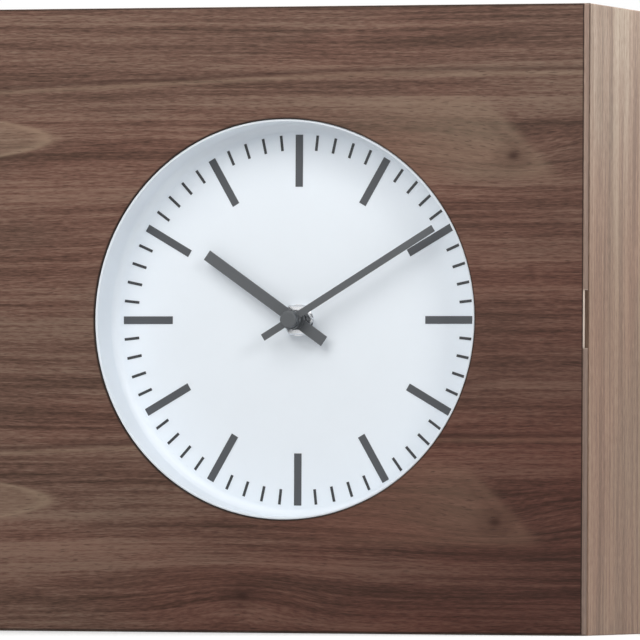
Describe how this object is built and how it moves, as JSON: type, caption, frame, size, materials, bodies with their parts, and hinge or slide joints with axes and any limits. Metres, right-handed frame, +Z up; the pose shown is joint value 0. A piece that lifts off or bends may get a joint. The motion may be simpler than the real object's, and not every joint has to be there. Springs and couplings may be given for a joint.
{
  "type": "wall clock key cabinet",
  "caption": "Square walnut wall cabinet for keys, with a recessed round white quartz clock dial, bar marks and plain bar hands set into its hinged door.",
  "frame": {"origin": "on the wall plane, at the middle of the back, straight behind the dial's centre", "axes": "+Z up, +X right as seen from the front, +Y into the wall; the dial faces -Y"},
  "size_m": [0.3035, 0.1, 0.3],
  "materials": {
    "walnut_front": "open-pore oiled walnut veneer, grain across",
    "walnut_case": "walnut veneer, grain upright",
    "back_board": "thin veneered board",
    "beech": "plain beech",
    "steel": "zinc-plated",
    "bright_metal": "nickel-plated",
    "dial_white": "satin white moulding",
    "hand_grey": "satin dark grey paint",
    "mark_grey": "thin dark grey bars stuck on the dial",
    "black_plastic": "black moulding",
    "cover_grey": "dark grey moulding",
    "wheel_white": "natural acetal",
    "brass": "plain brass",
    "copper": "enamelled copper wire",
    "magnet": "ferrite",
    "rubber": "soft black rubber",
    "board_green": "lacquered board",
    "chip_black": "potted chip",
    "cell_wrap": "plain printed sleeve with no lettering"
  },
  "bodies": {
    "cabinet": {"side_panel_left": "walnut_case", "side_panel_right": "walnut_case", "top_panel": "walnut_case", "bottom_panel": "walnut_case", "back_panel": "back_board", "back_panel_screws": "steel", "corner_dowels": "beech", "hook_rail": "beech", "hook_rail_screws": "steel", "key_hooks": "bright_metal", "catch_housing": "black_plastic", "catch_magnet": "magnet", "catch_screws": "steel", "door_bumpers": "rubber", "hinge_leaves_cabinet": "steel", "hinge_screws_cabinet": "steel", "hinge_pins": "steel"},
    "door": {"door_panel": "walnut_front", "hinge_leaves_door": "steel", "hinge_screws_door": "steel", "strike_plate": "steel", "strike_screws": "steel", "dial_ring": "dial_white", "dial_plate": "dial_white", "hour_marks": "mark_grey", "minute_marks": "mark_grey", "ring_screws": "steel", "dial_washer": "bright_metal", "dial_nut": "bright_metal", "movement_gasket": "rubber", "movement_case": "black_plastic", "movement_cover": "cover_grey", "cover_screws": "steel", "stator_plate": "steel", "coil_core": "steel", "coil_bobbin": "wheel_white", "coil_winding": "copper", "circuit_board": "board_green", "driver_chip": "chip_black", "quartz_crystal": "steel", "battery_cell": "cell_wrap", "battery_contact_plus": "steel", "battery_contact_minus": "steel"},
    "minute": {"minute_wheel": "brass", "minute_hand": "hand_grey", "minute_cap": "hand_grey"},
    "hour": {"hour_wheel": "wheel_white", "hour_hand": "hand_grey"},
    "motion": {"motion_wheel": "wheel_white"},
    "third": {"third_wheel": "wheel_white"},
    "rotor": {"rotor_pinion": "wheel_white", "rotor_magnet": "magnet"},
    "setting": {"setting_knob": "cover_grey"}
  },
  "joints": [
    {"name": "door_hinge", "type": "hinge", "parent": "cabinet", "child": "door", "pos_m": [-0.151, -0.091, 0], "axis": [0, 0, -1], "range_deg": [0, 175]},
    {"name": "minute_turn", "type": "hinge", "parent": "door", "child": "minute", "pos_m": [0, -0.07, 0], "axis": [0, 1, 0], "continuous": true},
    {"name": "hour_turn", "type": "hinge", "parent": "door", "child": "hour", "pos_m": [0, -0.07, 0], "axis": [0, 1, 0], "continuous": true},
    {"name": "motion_turn", "type": "hinge", "parent": "door", "child": "motion", "pos_m": [-0.00677, -0.07, 0.00246], "axis": [0, 1, 0], "continuous": true},
    {"name": "third_turn", "type": "hinge", "parent": "door", "child": "third", "pos_m": [0.00656, -0.07, 0.00781], "axis": [0, 1, 0], "continuous": true},
    {"name": "rotor_turn", "type": "hinge", "parent": "door", "child": "rotor", "pos_m": [0.00499, -0.07, 0.01668], "axis": [0, 1, 0], "continuous": true},
    {"name": "setting_turn", "type": "hinge", "parent": "door", "child": "setting", "pos_m": [-0.01353, -0.07, 0.00493], "axis": [0, 1, 0], "continuous": true}
  ],
  "couplings": [
    {"joint": "hour_turn", "follows": "minute_turn", "ratio": 0.083333},
    {"joint": "motion_turn", "follows": "minute_turn", "ratio": -0.33333},
    {"joint": "third_turn", "follows": "minute_turn", "ratio": -7.5},
    {"joint": "rotor_turn", "follows": "minute_turn", "ratio": 60},
    {"joint": "setting_turn", "follows": "minute_turn", "ratio": 1}
  ]
}
